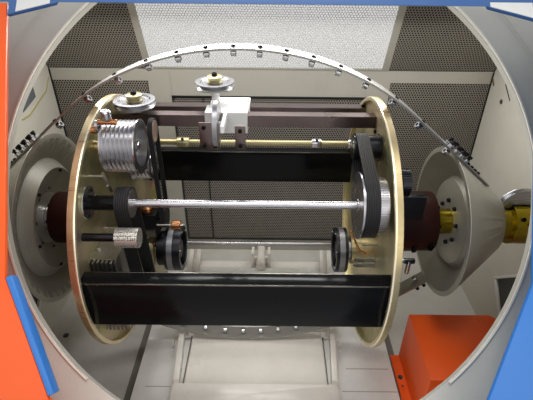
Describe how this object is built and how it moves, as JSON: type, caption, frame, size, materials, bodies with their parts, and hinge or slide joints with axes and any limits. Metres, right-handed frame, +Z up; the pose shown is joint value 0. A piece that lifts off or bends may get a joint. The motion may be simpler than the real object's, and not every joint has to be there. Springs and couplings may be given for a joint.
{
  "type": "wire bunching machine",
  "caption": "Double-twist wire bunching machine: an open sheet-metal chamber with a bow rotor turning around a bobbin cradle with capstans, traverse carriage and loader.",
  "frame": {"origin": "Centre of the footprint on the floor", "axes": "+X to the operator's right along the rotor axis, -Y towards the operator, +Z up"},
  "size_m": [3.1, 1.6, 1.56],
  "materials": {
    "beige_paint": "satin beige paint",
    "orange_paint": "gloss orange paint",
    "blue_paint": "gloss blue paint",
    "dark_paint": "satin dark grey paint",
    "white_paint": "satin white paint",
    "cast_disk": "turned cast alloy",
    "bow_steel": "brushed spring steel",
    "bearing_iron": "painted cast iron",
    "brass_finish": "yellow passivated steel",
    "shaft_steel": "ground steel",
    "zinc_plate": "yellow passivated zinc plating",
    "hub_brown": "dark brown primer",
    "black_paint": "gloss black paint",
    "bar_bronze": "dark bronze ground bar",
    "carriage_white": "white enamel",
    "capstan_alloy": "turned aluminium",
    "wheel_steel": "polished steel",
    "belt_rubber": "black ribbed rubber"
  },
  "bodies": {
    "base": {"plinth": "dark_paint", "trough": "beige_paint", "cabinet_left": "orange_paint", "cabinet_right": "blue_paint", "end_wall_left": "beige_paint", "end_wall_right": "beige_paint", "rear_wall": "beige_paint", "hood": "beige_paint", "shield_left": "beige_paint", "shield_right": "beige_paint", "front_left": "orange_paint", "front_right": "blue_paint", "trim_left": "blue_paint", "top_beam": "blue_paint", "guard": "orange_paint", "bearing_left": "bearing_iron", "bearing_right": "bearing_iron", "loader_bed": "white_paint", "rear_fittings": "white_paint"},
    "rotor": {"disk_left": "cast_disk", "disk_right": "cast_disk", "bow_top": "bow_steel", "bow_bottom": "bow_steel", "shaft_left": "shaft_steel", "shaft_right": "brass_finish"},
    "deflector": {"deflector_wheel": "wheel_steel"},
    "cradle": {"plate_left": "zinc_plate", "plate_right": "zinc_plate", "front_box": "black_paint", "rear_box": "black_paint", "bar_front": "bar_bronze", "bar_rear": "bar_bronze", "guide_rod": "zinc_plate", "tie_rod": "shaft_steel", "hub_left": "hub_brown", "hub_right": "hub_brown", "drive_sleeve": "black_paint", "drive_belt": "belt_rubber", "knurl_roller": "capstan_alloy", "side_pulley": "black_paint", "bracket_left": "zinc_plate", "bracket_right": "zinc_plate", "lay_belt": "belt_rubber", "gear_unit": "capstan_alloy", "traverse_gear": "black_paint", "traverse_belt": "belt_rubber"},
    "capstan": {"capstan": "capstan_alloy"},
    "idler": {"idler": "capstan_alloy"},
    "drive": {"drive_shaft": "shaft_steel"},
    "top_pulley": {"top_pulley": "black_paint"},
    "carriage": {"carriage": "carriage_white"},
    "guide_a": {"guide_wheel_a": "wheel_steel"},
    "guide_b": {"guide_wheel_b": "wheel_steel"},
    "feed": {"feed_wheel": "wheel_steel"},
    "pintle_left": {"pintle_left": "black_paint"},
    "quill": {"quill": "shaft_steel"},
    "pintle_right": {"pintle_right": "black_paint"},
    "loader": {"loader_table": "white_paint"}
  },
  "joints": [
    {"name": "rotor_spin", "type": "hinge", "parent": "base", "child": "rotor", "pos_m": [-0.097, 0, 0.75], "axis": [1, 0, 0], "continuous": true},
    {"name": "deflector_spin", "type": "hinge", "parent": "rotor", "child": "deflector", "pos_m": [0.897, 0, 0.802], "axis": [0, 1, 0], "continuous": true},
    {"name": "cradle_swing", "type": "hinge", "parent": "base", "child": "cradle", "pos_m": [-0.092, 0, 0.75], "axis": [1, 0, 0], "range_deg": [-90, 90]},
    {"name": "capstan_spin", "type": "hinge", "parent": "cradle", "child": "capstan", "pos_m": [-0.446, -0.099, 1.088], "axis": [1, 0, 0], "continuous": true},
    {"name": "idler_spin", "type": "hinge", "parent": "cradle", "child": "idler", "pos_m": [-0.4585, 0.103, 0.939], "axis": [1, 0, 0], "continuous": true},
    {"name": "drive_spin", "type": "hinge", "parent": "cradle", "child": "drive", "pos_m": [-0.092, -0.243, 0.974], "axis": [1, 0, 0], "continuous": true},
    {"name": "top_pulley_spin", "type": "hinge", "parent": "cradle", "child": "top_pulley", "pos_m": [0.279, -0.06, 1.073], "axis": [1, 0, 0], "continuous": true},
    {"name": "carriage_slide", "type": "slide", "parent": "cradle", "child": "carriage", "axis": [1, 0, 0], "range_m": [-0.15, 0.3]},
    {"name": "guide_a_spin", "type": "hinge", "parent": "cradle", "child": "guide_a", "pos_m": [-0.45, 0.077, 1.162], "axis": [0, 0, 1], "continuous": true},
    {"name": "guide_b_spin", "type": "hinge", "parent": "carriage", "child": "guide_b", "pos_m": [-0.196, 0.19, 1.19], "axis": [0, 0, 1], "continuous": true},
    {"name": "feed_spin", "type": "hinge", "parent": "carriage", "child": "feed", "pos_m": [-0.168, -0.035, 1.136], "axis": [1, 0, 0], "continuous": true},
    {"name": "pintle_left_spin", "type": "hinge", "parent": "cradle", "child": "pintle_left", "pos_m": [-0.4, -0.01, 0.619], "axis": [1, 0, 0], "continuous": true},
    {"name": "quill_slide", "type": "slide", "parent": "cradle", "child": "quill", "axis": [1, 0, 0], "range_m": [-0.095, 0]},
    {"name": "pintle_right_spin", "type": "hinge", "parent": "quill", "child": "pintle_right", "pos_m": [0.28, -0.01, 0.619], "axis": [1, 0, 0], "continuous": true},
    {"name": "loader_slide", "type": "slide", "parent": "base", "child": "loader", "axis": [0, 1, 0], "range_m": [-0.5, 0]}
  ],
  "couplings": [
    {"joint": "top_pulley_spin", "follows": "drive_spin", "ratio": 2.0513}
  ]
}
